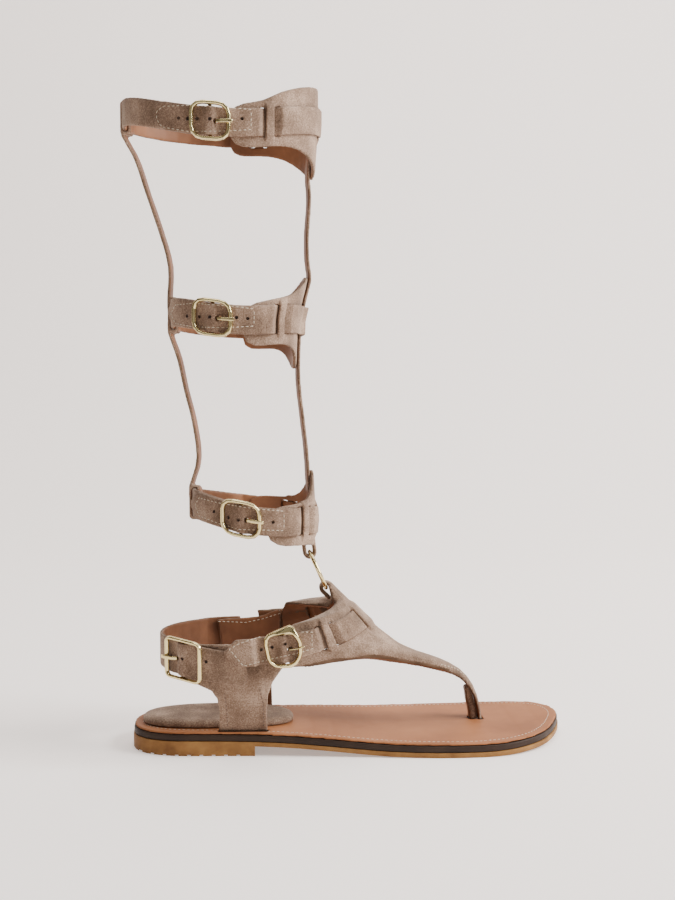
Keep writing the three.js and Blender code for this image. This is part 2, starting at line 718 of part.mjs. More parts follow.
function makeInstepStrap() {
  const atX = (x) => vampRun.total + vampRows[beltRow].edgeX - x;
  const tip = -atX(instepStrap.tipX);
  const levels = [
    { at: tip, r: overStrap },
    { at: -atX(instepStrap.restX + 1), r: overStrap },
    { at: -atX(instepStrap.restX + 5), r: overWall },
    ...barLevels(instepBar).reverse(),
    ...instepBridges.flatMap((bridge) => windowLevels(bridge).reverse()),
    { at: atX(instepStrap.medialEnd), r: overWall },
  ];
  const half = (s) => Math.min(instepStrap.half, 1.6 + (s - tip) * 0.95);
  const body = strapBody(instepPlace, levels, half, 6, [tip + 3.4, tip + 6.7]);
  return cut(body, [prongHole(instepPlace, instepBar, instepBuckle)]);
}

// Loop of a tab folded round the ring: starts along the outer face, turns, and ends inside
function foldLoop(centreX, centreZ, startTurn, sweepTurn, thickness, lead) {
  const turns = spread(startTurn, startTurn + sweepTurn, 10);
  const forward = Math.sign(sweepTurn);
  const tangent = (turn) => ({ x: -Math.sin(turn) * forward, z: Math.cos(turn) * forward });
  const path = turns.map((turn) => ({ turn, shift: 0 }));
  path.unshift({ turn: startTurn, shift: -lead });
  path.push({ turn: startTurn + sweepTurn, shift: fold.tail });
  return slab(path, [-fold.half, fold.half], ({ turn, shift }, y, side) => {
    const radius = fold.inner + side * thickness;
    const way = tangent(turn);
    const x = centreX + radius * Math.cos(turn) + way.x * shift;
    const z = centreZ + radius * Math.sin(turn) + way.z * shift;
    return new THREE.Vector3(x, y, z);
  });
}

function makeVamp() {
  const rows = spread(0, vampRows.length - 1, 26);
  const half = [0, 0.25, 0.45, 0.62, 0.78, 1];
  const across = [...half.slice(1).reverse().map((v) => -v), ...half];
  const sheet = slab(rows, across, (row, v, side) => vampAt(row, v, side * wall));
  const woven = weave(sheet, instepPlace, instepBridges, instepStrap.half);
  const ringBottom = { x: ring.x + ring.radius * ring.axisZ, z: ring.z - ring.radius * ring.axisX };
  const loop = foldLoop(ringBottom.x, ringBottom.z, 0.8, Math.PI, wall, 4);
  return joined([woven, loop]);
}

function makePost() {
  const rows = spread(post.fromRow, post.toRow, 8);
  const depths = [{ at: post.fromRow, r: post.tip }, { at: post.fullRow, r: post.depth }];
  return slab(rows, spread(-post.half, post.half, 2), (row, y, side) => {
    const point = vampAt(row, 0, side ? -post.clear : -post.clear - level(depths, row));
    point.y += y;
    return point;
  });
}

function makeRing() {
  const geometry = new THREE.TorusGeometry(ring.radius, ring.tube, 8, 24);
  geometry.rotateY(Math.atan2(ring.axisX, ring.axisZ));
  geometry.translate(ring.x, 0, ring.z);
  return geometry;
}

// Leg cuff surface: arc from the centre front, minus to the outer side
function cuffSurface(cuff) {
  const outline = (turn) => new THREE.Vector3(cuff.deep * Math.cos(turn), cuff.half * Math.sin(turn), 0);
  const run = measured(outline, 0, 2 * Math.PI, 720);
  const girth = run.total;
  const shift = run.lengthAt(THREE.MathUtils.degToRad(cuff.twist));
  const place = (s, h, r) => {
    const turn = run.parameter((((s + shift) % girth) + girth) % girth);
    const point = outline(turn);
    const normal = new THREE.Vector3(Math.cos(turn) / cuff.deep, Math.sin(turn) / cuff.half, 0).normalize();
    const drop = cuff.sag * Math.max(0, -Math.sin(turn)) ** sagPower;
    const z = cuff.level + cuff.tilt * point.x + cuff.roll * point.y - drop + h;
    const lean = h * (h > 0 ? cuff.leanUp : cuff.leanDown) * Math.max(0, Math.cos(turn));
    point.addScaledVector(normal, r);
    return new THREE.Vector3(point.x + cuff.middle + lean, point.y, z);
  };
  const arc = (angle) => run.lengthAt(THREE.MathUtils.degToRad(angle));
  return { place, arc, girth, back: arc(backAngle) - shift };
}

function cuffBridges(cuff, surface) {
  const bridges = [
    { half: 2.3, at: surface.arc(cuff.bridge * cuff.innerShare) },
    { half: 2.3, at: -surface.arc(cuff.bridge) },
  ];
  if (cuff.frontBridge > 0) bridges.push({ at: 0, half: cuff.frontBridge });
  return bridges.sort((a, b) => b.at - a.at);
}

function makePanel(cuff, surface) {
  const edges = panelEdges[cuff.name];
  const last = edges[edges.length - 1].angle;
  const angles = stations([-last, last, ...edges.flatMap((row) => [row.angle, -row.angle])], 9);
  const sheet = slab(angles, [-1, -0.55, 0, 0.55, 1], (angle, v, side) => {
    const above = curve(edges, 'angle', 'above', Math.abs(angle));
    const below = curve(edges, 'angle', 'below', Math.abs(angle));
    const s = angle > 0 ? surface.arc(angle * cuff.innerShare) : -surface.arc(-angle);
    return surface.place(s, v > 0 ? above * v : below * -v, side * wall);
  });
  const woven = weave(sheet, surface.place, cuffBridges(cuff, surface), cuff.strapHalf);
  if (cuff.name !== 'lower') return woven;
  const ringTop = { x: ring.x - ring.radius * ring.axisZ, z: ring.z + ring.radius * ring.axisX };
  return joined([woven, foldLoop(ringTop.x, ringTop.z, 0.12, -Math.PI, wall, 8)]);
}

function makeCuffStrap(cuff, surface) {
  const bar = -surface.arc(cuff.bar);
  const tip = -surface.arc(cuff.tip) - surface.girth;
  const edges = panelEdges[cuff.name];
  const panelEnd = surface.arc(edges[edges.length - 1].angle * cuff.innerShare);
  const lap = (rows) => rows.map((row) => ({ ...row, at: row.at - surface.girth }));
  const front = cuff.frontOver > 0 ? [
    { at: cuff.frontOver + 4, r: overWall },
    { at: cuff.frontOver, r: overBar + 0.3 },
    { at: -cuff.frontOver, r: overBar + 0.3 },
    { at: -cuff.frontOver - 4, r: overWall },
  ] : [];
  const crossings = [...cuffBridges(cuff, surface).flatMap(windowLevels), ...front];
  const levels = [
    { at: bar + 3, r: 0 },
    ...lap([{ at: panelEnd + 9, r: 0 }, { at: panelEnd + 3, r: overWall }]),
    ...lap(crossings.sort((a, b) => b.at - a.at)),
    ...lap(barLevels(bar)),
    { at: tip, r: overWall },
  ];
  const slope = cuff.pointed ? 0.95 : 0;
  const half = (s) => (cuff.pointed
    ? Math.min(cuff.strapHalf, 1.6 + (s - tip) * slope)
    : roundedHalf(cuff.strapHalf, 6, s - tip));
  const ends = cuff.pointed ? [tip + 3.5, tip + 7] : [tip + 0.6, tip + 1.8, tip + 3.4, tip + 6];
  const body = strapBody(surface.place, levels, half, 8, ends);
  return cut(body, [prongHole(surface.place, bar - surface.girth, cuffBuckle)]);
}

// Closed hoop of an upright strap round a cuff strap at the back
function makeHoop(cuff, surface) {
  const back = surface.back;
  const middle = strapThickness / 2;
  const inner = { r: strapThickness / 2 + hoopGap, h: cuff.strapHalf + hoopGap };
  const corners = [[1, 1], [-1, 1], [-1, -1], [1, -1]];
  const rings = [];
  const around = [];
  for (const [r, h] of corners) {
    const bevel = r * h > 0 ? [[1, 0], [0, 1]] : [[0, 1], [1, 0]];
    for (const [dr, dh] of bevel) around.push({ r, h, dr, dh });
  }
  for (const { r, h, dr, dh } of around) {
    const ring = [];
    for (const [s, out] of [[-1, 0], [1, 0], [1, 1], [-1, 1]]) {
      const grow = out * hoopWall;
      const cutBack = 0.8 + grow * 0.5;
      const rr = middle + r * (inner.r + grow - (1 - dr) * cutBack * 0.9);
      const hh = h * (inner.h + grow - (1 - dh) * cutBack * 0.9);
      ring.push(surface.place(back + s * upStrapHalfWidth, hh, rr));
    }
    rings.push(ring);
  }
  return sweep(rings, true);
}

// Upright strap: a flat ribbon through points of the middle plane
function ribbon(points, count, angle) {
  const line = new THREE.CatmullRomCurve3(points, false, 'centripetal');
  const turn = THREE.MathUtils.degToRad(angle);
  const across = new THREE.Vector3(-Math.sin(turn), Math.cos(turn), 0);
  return slab(spread(0, 1, count), [-1, 1], (t, v, side) => {
    const out = line.getTangentAt(t).cross(across).normalize();
    const point = line.getPointAt(t).addScaledVector(out, (side - 0.5) * hoopWall);
    return point.addScaledVector(across, v * upStrapHalfWidth);
  });
}

function freeRun(rows) {
  return rows.map(({ x, y, z }) => new THREE.Vector3(x, y, z));
}

function makeFrontStrap(surfaces) {
  const [top, middle, lower] = surfaces.map((surface) => surface.place);
  const points = [
    ...[-14, -21, -28].map((h) => top(0, h, upStrapInside)),
    ...freeRun(frontRuns.upper),
    ...[25, 17, 9, 0, -9, -17, -25].map((h) => middle(0, h, upStrapOnPanel)),
    ...freeRun(frontRuns.lower),
    ...[28, 22, 16].map((h) => lower(0, h, upStrapInside)),
  ];
  return ribbon(points, 48, cuffs[1].twist);
}

function makeBackStrap(surfaces) {
  const reach = (cuff) => cuff.strapHalf + 1;
  const outside = strapThickness + hoopGap + hoopWall / 2;
  const at = (index, h) => surfaces[index].place(surfaces[index].back, h, outside);
  const run = (index, free) => ribbon([
    at(index, -4),
    at(index, -reach(cuffs[index])),
    ...freeRun(free),
    at(index + 1, reach(cuffs[index + 1])),
    at(index + 1, 4),
  ], 18, backAngle);
  const hoops = cuffs.map((cuff, i) => makeHoop(cuff, surfaces[i]));
  return joined([...hoops, run(0, backRuns.upper), run(1, backRuns.lower)]);
}

const sandal = new THREE.Group();
sandal.name = 'toe_post_sandal';

function add(name, geometry, finish) {
  const bare = geometry.clone();
  bare.deleteAttribute('normal');
  bare.deleteAttribute('uv');
  const body = mergeVertices(bare, 1e-4);
  body.computeVertexNormals();
  const mesh = new THREE.Mesh(body, new THREE.MeshStandardMaterial(finish));
  mesh.name = name;
  sandal.add(mesh);
}

add('outsole', makeOutsole(), finishes.outsole);
add('midsole', makeMidsole(), finishes.midsole);
add('insole', makeInsole(), finishes.insole);
add('heel_pad', makePad(), suede);
add('toe_post', makePost(), suede);
add('vamp', makeVamp(), suede);
add('quarter_lateral', makeQuarter(1), suede);
add('quarter_medial', makeQuarter(-1), suede);
add('heel_strap', makeHeelStrap(), suede);
add('heel_buckle_frame', makeFrame(heelPlace, heelBar, heelBuckle, heelStrap.half), gold);
add('heel_buckle_prong', makeProng(heelPlace, heelBar, heelBuckle), gold);
add('instep_strap', makeInstepStrap(), suede);
add('instep_buckle_frame', makeFrame(instepPlace, instepBar, instepBuckle, instepStrap.half), gold);
add('instep_buckle_prong', makeProng(instepPlace, instepBar, instepBuckle), gold);
add('ring', makeRing(), gold);

const surfaces = cuffs.map(cuffSurface);
cuffs.forEach((cuff, i) => {
  const bar = -surfaces[i].arc(cuff.bar);
  add(`${cuff.name}_panel`, makePanel(cuff, surfaces[i]), suede);
  add(`${cuff.name}_strap`, makeCuffStrap(cuff, surfaces[i]), suede);
  add(`${cuff.name}_buckle_frame`, makeFrame(surfaces[i].place, bar, cuffBuckle, cuff.strapHalf), gold);
  add(`${cuff.name}_buckle_prong`, makeProng(surfaces[i].place, bar, cuffBuckle), gold);
});
add('front_strap', makeFrontStrap(surfaces), suede);
add('back_strap', makeBackStrap(surfaces), suede);

export default sandal;
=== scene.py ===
import math

import bpy
import numpy as np
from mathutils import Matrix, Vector
from mathutils.bvhtree import BVHTree


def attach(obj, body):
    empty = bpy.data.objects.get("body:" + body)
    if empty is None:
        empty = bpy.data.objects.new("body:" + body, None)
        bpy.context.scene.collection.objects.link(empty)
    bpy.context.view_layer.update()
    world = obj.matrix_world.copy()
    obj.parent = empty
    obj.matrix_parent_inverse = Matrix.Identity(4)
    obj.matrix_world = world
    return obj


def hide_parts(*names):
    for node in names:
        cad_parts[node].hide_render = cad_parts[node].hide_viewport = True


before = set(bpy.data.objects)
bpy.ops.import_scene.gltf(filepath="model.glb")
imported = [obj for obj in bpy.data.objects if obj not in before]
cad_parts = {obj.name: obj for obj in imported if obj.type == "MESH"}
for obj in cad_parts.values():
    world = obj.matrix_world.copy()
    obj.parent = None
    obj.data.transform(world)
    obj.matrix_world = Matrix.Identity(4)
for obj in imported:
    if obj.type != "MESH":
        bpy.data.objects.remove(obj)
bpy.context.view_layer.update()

mm = 0.001

# the camera stands where the photograph was taken from
camera = {
    "place": (0.0224, -0.7823, 0.2346),
    "looks": (0.0869, 0.9931, -0.0793),
    "lens": 53.8,
    "sensor": 36.0,
    "nearest": 0.01,
    "wide": 675,
    "high": 900,
}


def makeCamera():
    bpy.ops.object.camera_add(location=camera["place"])
    eye = bpy.context.object
    eye.name = "photoCamera"
    eye.rotation_euler = Vector(camera["looks"]).to_track_quat("-Z", "Y").to_euler()
    eye.data.lens = camera["lens"]
    eye.data.sensor_width = camera["sensor"]
    eye.data.clip_start = camera["nearest"]
    bpy.context.scene.camera = eye


def pixelRay(across, down):
    forward = Vector(camera["looks"]).normalized()
    right = forward.cross(Vector((0, 0, 1))).normalized()
    above = right.cross(forward)
    focus = camera["lens"] / camera["sensor"] * camera["high"]
    ray = forward
    ray = ray + right * ((across - camera["wide"] / 2) / focus)
    ray = ray + above * ((camera["high"] / 2 - down) / focus)
    return Vector(camera["place"]), ray.normalized()


def deselect():
    if bpy.context.object and bpy.context.object.mode != "OBJECT":
        bpy.ops.object.mode_set(mode="OBJECT")
    bpy.ops.object.select_all(action="DESELECT")


def takeUp(piece):
    deselect()
    piece.select_set(True)
    bpy.context.view_layer.objects.active = piece


makeCamera()
print("stage: camera")


def colour(hexText):
    parts = [int(hexText[i:i + 2], 16) / 255 for i in (1, 3, 5)]
    linear = [c / 12.92 if c <= 0.04045 else ((c + 0.055) / 1.055) ** 2.4 for c in parts]
    return (*linear, 1.0)


def addNode(tree, kind, inputs=None, links=None, **settings):
    node = tree.nodes.new(kind)
    for name, value in settings.items():
        setattr(node, name, value)
    for name, value in (inputs or {}).items():
        node.inputs[name].default_value = value
    for name, source in (links or {}).items():
        tree.links.new(source, node.inputs[name])
    return node


def startMaterial(name, **fixed):
    material = bpy.data.materials.new(name)
    material.use_nodes = True
    tree = material.node_tree
    shader = tree.nodes["Principled BSDF"]
    for socket, value in fixed.items():
        shader.inputs[socket.replace("_", " ")].default_value = value
    place = addNode(tree, "ShaderNodeTexCoord").outputs["Object"]
    return material, tree, shader, place


def setRamp(ramp, stops):
    elements = ramp.color_ramp.elements
    while len(elements) < len(stops):
        elements.new(0.5)
    for element, (where, hexText) in zip(elements, stops):
        element.position = where
        element.color = colour(hexText)


# napped split leather: no gloss, cloudy where the nap lies differently, a fine fibrous speckle
suedeLook = {
    "stops": [(0.34, "#4c3a2d"), (0.5, "#796251"), (0.66, "#aa917d")],
    "cloud": 14 * mm,
    "fibre": 0.75 * mm,  # real fibres are finer; drawn as coarse as it needs to show
    "cloudShare": 0.4,
    "bump": 0.45,
    "bumpDepth": 0.35 * mm,
    "rough": 0.95,
    "sheen": 0.18,
    "sheenRough": 0.6,
    "sheenTint": "#eadccf",
    "specular": 0.15,
}


def makeSuede(name, look):
    material, tree, shader, place = startMaterial(
        name, Roughness=look["rough"], Sheen_Weight=look["sheen"], Sheen_Roughness=look["sheenRough"],
        Sheen_Tint=colour(look["sheenTint"]), Specular_IOR_Level=look["specular"])
    cloud = addNode(tree, "ShaderNodeTexNoise", {"Scale": 1 / look["cloud"], "Detail": 3.0},
                    {"Vector": place})
    fibre = addNode(tree, "ShaderNodeTexNoise",
                    {"Scale": 1 / look["fibre"], "Detail": 4.0, "Roughness": 0.7},
                    {"Vector": place})
    both = addNode(tree, "ShaderNodeMix", {0: look["cloudShare"]},
                   {2: fibre.outputs[0], 3: cloud.outputs[0]})
    ramp = addNode(tree, "ShaderNodeValToRGB", None, {"Fac": both.outputs[0]})
    setRamp(ramp, look["stops"])
    bump = addNode(tree, "ShaderNodeBump", {"Strength": look["bump"], "Distance": look["bumpDepth"]},
                   {"Height": fibre.outputs[0]})
    tree.links.new(ramp.outputs[0], shader.inputs["Base Color"])
    tree.links.new(bump.outputs[0], shader.inputs["Normal"])
    return material


# smooth finished leather: even colour with faint streaks, pores and a soft shine
smoothFinish = {"specular": 0.2, "poreDepth": 0.2 * mm}
liningLook = {"stops": [(0.3, "#5e3c28"), (0.7, "#85593d")], "streak": 22 * mm, "pore": 0.6 * mm,
              "rough": 0.5, "bump": 0.12}
insoleLook = {"stops": [(0.3, "#7f4d2d"), (0.7, "#9b643f")], "streak": 40 * mm, "pore": 0.7 * mm,
              "rough": 0.62, "bump": 0.1}
edgeLook = {"stops": [(0.3, "#4f3c2e"), (0.7, "#6f5846")], "streak": 9 * mm, "pore": 0.6 * mm,
            "rough": 0.8, "bump": 0.25}
midsoleLook = {"stops": [(0.3, "#251a15"), (0.7, "#38291f")], "streak": 18 * mm, "pore": 0.8 * mm,
               "rough": 0.55, "bump": 0.2}


def makeSmoothLeather(name, look):
    material, tree, shader, place = startMaterial(name, Roughness=look["rough"],
                                                  Specular_IOR_Level=smoothFinish["specular"])
    streak = addNode(tree, "ShaderNodeTexNoise", {"Scale": 1 / look["streak"], "Detail": 4.0},
                     {"Vector": place})
    pore = addNode(tree, "ShaderNodeTexVoronoi", {"Scale": 1 / look["pore"]}, {"Vector": place})
    ramp = addNode(tree, "ShaderNodeValToRGB", None, {"Fac": streak.outputs[0]})
    setRamp(ramp, look["stops"])
    bump = addNode(tree, "ShaderNodeBump",
                   {"Strength": look["bump"], "Distance": smoothFinish["poreDepth"]},
                   {"Height": pore.outputs["Distance"]})
    tree.links.new(ramp.outputs[0], shader.inputs["Base Color"])
    tree.links.new(bump.outputs[0], shader.inputs["Normal"])
    return material


# moulded gum rubber: warm tan, matt, with a little darker mottling and fine grit
gumLook = {"stops": [(0.3, "#6b451c"), (0.7, "#946a37")], "mottle": 11 * mm, "grit": 0.5 * mm,
           "rough": 0.7, "specular": 0.35, "bump": 0.3, "gritDepth": 0.15 * mm}


def makeGum(name, look):
    material, tree, shader, place = startMaterial(name, Roughness=look["rough"],
                                                  Specular_IOR_Level=look["specular"])
    mottle = addNode(tree, "ShaderNodeTexNoise", {"Scale": 1 / look["mottle"], "Detail": 5.0},
                     {"Vector": place})
    grit = addNode(tree, "ShaderNodeTexNoise", {"Scale": 1 / look["grit"], "Detail": 2.0},
                   {"Vector": place})
    ramp = addNode(tree, "ShaderNodeValToRGB", None, {"Fac": mottle.outputs[0]})
    setRamp(ramp, look["stops"])
    bump = addNode(tree, "ShaderNodeBump", {"Strength": look["bump"], "Distance": look["gritDepth"]},
                   {"Height": grit.outputs[0]})
    tree.links.new(ramp.outputs[0], shader.inputs["Base Color"])
    tree.links.new(bump.outputs[0], shader.inputs["Normal"])
    return material


# pale gold plating over polished zinc: clear reflections, faintly uneven gloss
goldLook = {"colour": "#d9c894", "smear": 6 * mm, "least": 0.14, "most": 0.27}


def makeGold(name, look):
    material, tree, shader, place = startMaterial(name, Metallic=1.0)
    shader.inputs["Base Color"].default_value = colour(look["colour"])
    smear = addNode(tree, "ShaderNodeTexNoise", {"Scale": 1 / look["smear"], "Detail": 3.0},
                    {"Vector": place})
    gloss = addNode(tree, "ShaderNodeMapRange", {"To Min": look["least"], "To Max": look["most"]},
                    {"Value": smear.outputs[0]})
    tree.links.new(gloss.outputs[0], shader.inputs["Roughness"])
    return material


# twisted polyester thread: the twist reads as fine light and dark flecks on each stitch
threadLook = {"twist": 0.45 * mm, "rough": 0.7, "sheen": 0.1,
              "cream": [(0.3, "#a3927b"), (0.7, "#d2c4ae")],
              "dark": [(0.3, "#3d2d24"), (0.7, "#5d483b")]}


def makeThread(name, stops):
    material, tree, shader, place = startMaterial(name, Roughness=threadLook["rough"],
                                                  Sheen_Weight=threadLook["sheen"])
    ply = addNode(tree, "ShaderNodeTexNoise", {"Scale": 1 / threadLook["twist"]}, {"Vector": place})
    ramp = addNode(tree, "ShaderNodeValToRGB", None, {"Fac": ply.outputs[0]})
    setRamp(ramp, stops)
    tree.links.new(ramp.outputs[0], shader.inputs["Base Color"])
    return material


suede = makeSuede("taupeSuede", suedeLook)
lining = makeSmoothLeather("tanLiningLeather", liningLook)
edgePaint = makeSmoothLeather("cutLeatherEdge", edgeLook)
insoleLeather = makeSmoothLeather("tanInsoleLeather", insoleLook)
midsoleLeather = makeSmoothLeather("darkEdgeLeather", midsoleLook)
gum = makeGum("gumRubber", gumLook)
gold = makeGold("paleGoldPlate", goldLook)
creamThread = makeThread("creamThread", threadLook["cream"])
# the brown thread material also paints the shade inside the punched holes
darkThreadAndHoleShade = makeThread("brownThreadAndHoleShade", threadLook["dark"])
print("stage: materials")

meshing = {"merge": 1e-6, "smoothing": 0.5}


# a piece that takes its shape from the frame
def copyOf(nodeName, pieceName):
    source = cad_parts[nodeName]
    piece = source.copy()
    piece.data = source.data.copy()
    piece.name = pieceName
    piece.parent = None
    for key in list(piece.keys()):
        del piece[key]
    bpy.context.scene.collection.objects.link(piece)
    piece.data.materials.clear()
    takeUp(piece)
    bpy.ops.object.mode_set(mode="EDIT")
    bpy.ops.mesh.select_all(action="SELECT")
    bpy.ops.mesh.remove_doubles(threshold=meshing["merge"])
    bpy.ops.object.mode_set(mode="OBJECT")
    return piece


def applyModifier(piece, kind, **settings):
    modifier = piece.modifiers.new(kind.lower(), kind)
    for name, value in settings.items():
        setattr(modifier, name, value)
    takeUp(piece)
    bpy.ops.object.modifier_apply(modifier=modifier.name)


def soften(piece, grain, rounds, swell=0.0):
    applyModifier(piece, "REMESH", mode="VOXEL", voxel_size=grain, use_smooth_shade=True)
    applyModifier(piece, "SMOOTH", factor=meshing["smoothing"], iterations=rounds)
    if swell:
        applyModifier(piece, "DISPLACE", strength=swell, mid_level=0.0)
    takeUp(piece)
    bpy.ops.object.shade_smooth()


def faceTable(piece):
    mesh = piece.data
    count = len(mesh.polygons)
    centres = np.zeros(count * 3)
    normals = np.zeros(count * 3)
    mesh.polygons.foreach_get("center", centres)
    mesh.polygons.foreach_get("normal", normals)
    return centres.reshape(-1, 3), normals.reshape(-1, 3)


# middle of the leg at a few heights, and of the foot
legLine = {"heights": [0.06, 0.14, 0.247, 0.355], "middles": [0.032, 0.042, 0.031, 0.0238]}
footLine = {"height": 0.018, "thongFrom": 0.158, "thongOut": (0.8, 0.0, 0.6)}


def outwards(centres, wraps):
    away = np.zeros_like(centres)
    if wraps in ("leg", "upright"):
        away[:, 0] = centres[:, 0] - np.interp(centres[:, 2], legLine["heights"], legLine["middles"])
        away[:, 1] = centres[:, 1]
    elif wraps == "foot":
        away[:, 1] = centres[:, 1]
        away[:, 2] = centres[:, 2] - footLine["height"]
        thong = centres[:, 0] > footLine["thongFrom"]
        away[thong] = footLine["thongOut"]
    else:
        away[:, 0] = 1.0
    return away / np.maximum(np.linalg.norm(away, axis=1, keepdims=True), 1e-9)


def lineInside(piece, wraps, holes):
    centres, normals = faceTable(piece)
    facing = np.sum(outwards(centres, wraps) * normals, axis=1)
    turned, cutEdge = leather["turn"] if wraps in ("leg", "foot") else leather["uprightTurn"]
    choice = np.where(facing < turned, 1, np.where(facing < cutEdge, 2, 0))
    # the walls and floor of each punched hole take the brown thread material: painted shade in the hole
    for place, normal in holes:
        offset = centres - np.array(place)
        along = offset @ np.array(normal)
        across = np.linalg.norm(offset - np.outer(along, normal), axis=1)
        holeShadeFaces = across < leather["hole"] / 2 * leather["holeMargin"]
        holeShadeFaces &= (along > -leather["holeDepth"]) & (along < 0.0)
        choice[holeShadeFaces] = 3
    piece.data.materials.clear()
    for material in (suede, lining, edgePaint, darkThreadAndHoleShade):
        piece.data.materials.append(material)
    piece.data.polygons.foreach_set("material_index", choice.astype(np.int32))
    piece.data.update()


def treeOf(piece):
    return BVHTree.FromObject(piece, bpy.context.evaluated_depsgraph_get())


def hitsFor(tree, pixels):
    found = []
    for across, down in pixels:
        origin, ray = pixelRay(across, down)
        place, normal, index, distance = tree.ray_cast(origin, ray)
        if place is not None:
            found.append((place, normal))
    return found


def punch(piece, holes):
    cutters = []
    for place, normal in holes:
        deselect()
        turn = normal.to_track_quat("Z", "Y").to_euler()
        bpy.ops.mesh.primitive_cylinder_add(
            vertices=leather["holeSides"], radius=leather["hole"] / 2, depth=2 * leather["holeDepth"],
            location=place, rotation=turn)
        cutters.append(bpy.context.object)
    deselect()
    for cutter in cutters:
        cutter.select_set(True)
    bpy.context.view_layer.objects.active = cutters[0]
    bpy.ops.object.join()
    cutter = bpy.context.object
    bpy.ops.object.transform_apply(location=True, rotation=True, scale=True)
    applyModifier(piece, "BOOLEAN", operation="DIFFERENCE", solver="MANIFOLD", object=cutter)
    bpy.data.objects.remove(cutter)


# each strap or panel: which way it wraps, and the pixels of its punched holes
leather = {
    "grain": 0.65 * mm,
    "rounds": 3,
    "swell": 0.12 * mm,
    "postSwell": 0.45 * mm,
    "hole": 1.9 * mm,
    "holeDepth": 1.5 * mm,
    "holeMargin": 1.05,
    "holeSides": 16,
    "turn": (-0.4, 0.2),  # below the first the lining shows, below the second the cut edge
    "uprightTurn": (-0.72, -0.5),
}
leatherPieces = {
    "vamp": ("foot", []),
    "toe_post": ("post", []),
    "quarter_lateral": ("leg", []),
    "quarter_medial": ("leg", []),
    "heel_strap": ("leg", [(171.3, 655.1), (182.2, 658.7), (206, 661.6)]),
    "instep_strap": ("foot", [(261.2, 649.5), (272.1, 647.1), (285.2, 644)]),
    "top_panel": ("leg", []),
    "top_strap": ("leg", [(178.7, 117.9), (187.6, 118.4), (197, 118.6), (209.6, 118.7),
                          (241.9, 118.6)]),
    "middle_panel": ("leg", []),
    "middle_strap": ("leg", [(187, 316), (199.4, 316.6), (209.6, 316.8), (236.5, 317.5),
                             (247.6, 318.5)]),
    "lower_panel": ("leg", []),
    "lower_strap": ("leg", [(214, 511.5), (228.5, 517.3), (238.2, 520), (273, 522.2)]),
    "front_strap": ("upright", []),
    "back_strap": ("upright", []),
}
surfaces = {}
for nodeName, (wraps, pixels) in leatherPieces.items():
    piece = copyOf(nodeName, nodeName + "_leather")
    swell = leather["postSwell"] if wraps == "post" else leather["swell"]
    soften(piece, leather["grain"], leather["rounds"], swell)
    surfaces[nodeName] = treeOf(piece)
    holes = hitsFor(surfaces[nodeName], pixels)
    if holes:
        punch(piece, holes)
    lineInside(piece, wraps, holes)
    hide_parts(nodeName)
    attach(piece, "sandal")
    print("stage: leather", nodeName, len(piece.data.polygons), "faces", len(holes), "holes")

# the heel pad is suede over soft foam
padSizes = {"grain": 0.7 * mm, "rounds": 12, "fill": 0.7}
pad = copyOf("heel_pad", "heel_pad_suede")
soften(pad, padSizes["grain"], padSizes["rounds"])
pad.data.materials.append(suede)
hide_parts("heel_pad")
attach(pad, "sandal")
print("stage: heel pad")

# the sole layers keep their crisp moulded edges
soleSizes = {"round": 0.5 * mm, "roundSteps": 2, "insoleGrain": 0.9 * mm, "insoleRounds": 3,
             "sharp": math.radians(35)}
soleMaterials = {"outsole": gum, "midsole": midsoleLeather, "insole": insoleLeather}
for nodeName, material in soleMaterials.items():
    piece = copyOf(nodeName, nodeName + "_layer")
    if nodeName == "insole":
        soften(piece, soleSizes["insoleGrain"], soleSizes["insoleRounds"])
        surfaces["insole"] = treeOf(piece)
    else:
        applyModifier(piece, "BEVEL", width=soleSizes["round"], segments=soleSizes["roundSteps"],
                      limit_method="ANGLE", angle_limit=soleSizes["sharp"])
        takeUp(piece)
        bpy.ops.object.shade_smooth_by_angle(angle=soleSizes["sharp"])
    piece.data.materials.append(material)
    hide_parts(nodeName)
    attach(piece, "sandal")
print("stage: sole")

# cast and polished buckles, prongs and the ring
metal = {"grain": 0.28 * mm, "rounds": 3}
buckles = ("heel", "instep", "top", "middle", "lower")
metalNodes = [name + "_buckle_" + half for name in buckles for half in ("frame", "prong")] + ["ring"]
for nodeName in metalNodes:
    piece = copyOf(nodeName, nodeName + "_plated")
    soften(piece, metal["grain"], metal["rounds"])
    piece.data.materials.append(gold)
    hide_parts(nodeName)
    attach(piece, "ring" if nodeName == "ring" else "sandal")
print("stage: metal")

# one stitch, copied along every line
stitch = {"long": 1.9 * mm, "wide": 0.5 * mm, "thick": 0.4 * mm, "pitch": 2.7 * mm,
          "sides": 6, "bands": 4, "raysPerSpan": 60, "fewest": 3}


def modelStitch():
    deselect()
    bpy.ops.mesh.primitive_uv_sphere_add(segments=stitch["sides"], ring_count=stitch["bands"], radius=0.5)
    one = bpy.context.object
    bpy.ops.object.mode_set(mode="EDIT")
    bpy.ops.transform.resize(value=(stitch["long"], stitch["wide"], stitch["thick"]))
    bpy.ops.object.mode_set(mode="OBJECT")
    corners = np.array([v.co for v in one.data.vertices])
    faces = [list(p.vertices) for p in one.data.polygons]
    bpy.data.objects.remove(one)
    return corners, faces


def evenly(points, pitch):
    points = np.array(points, float)
    steps = np.linalg.norm(np.diff(points, axis=0), axis=1)
    run = np.concatenate([[0], np.cumsum(steps)])
    count = max(2, int(round(run[-1] / pitch)))
    wanted = (np.arange(count) + 0.5) * run[-1] / count
    return np.stack([np.interp(wanted, run, points[:, k]) for k in range(3)], axis=1)


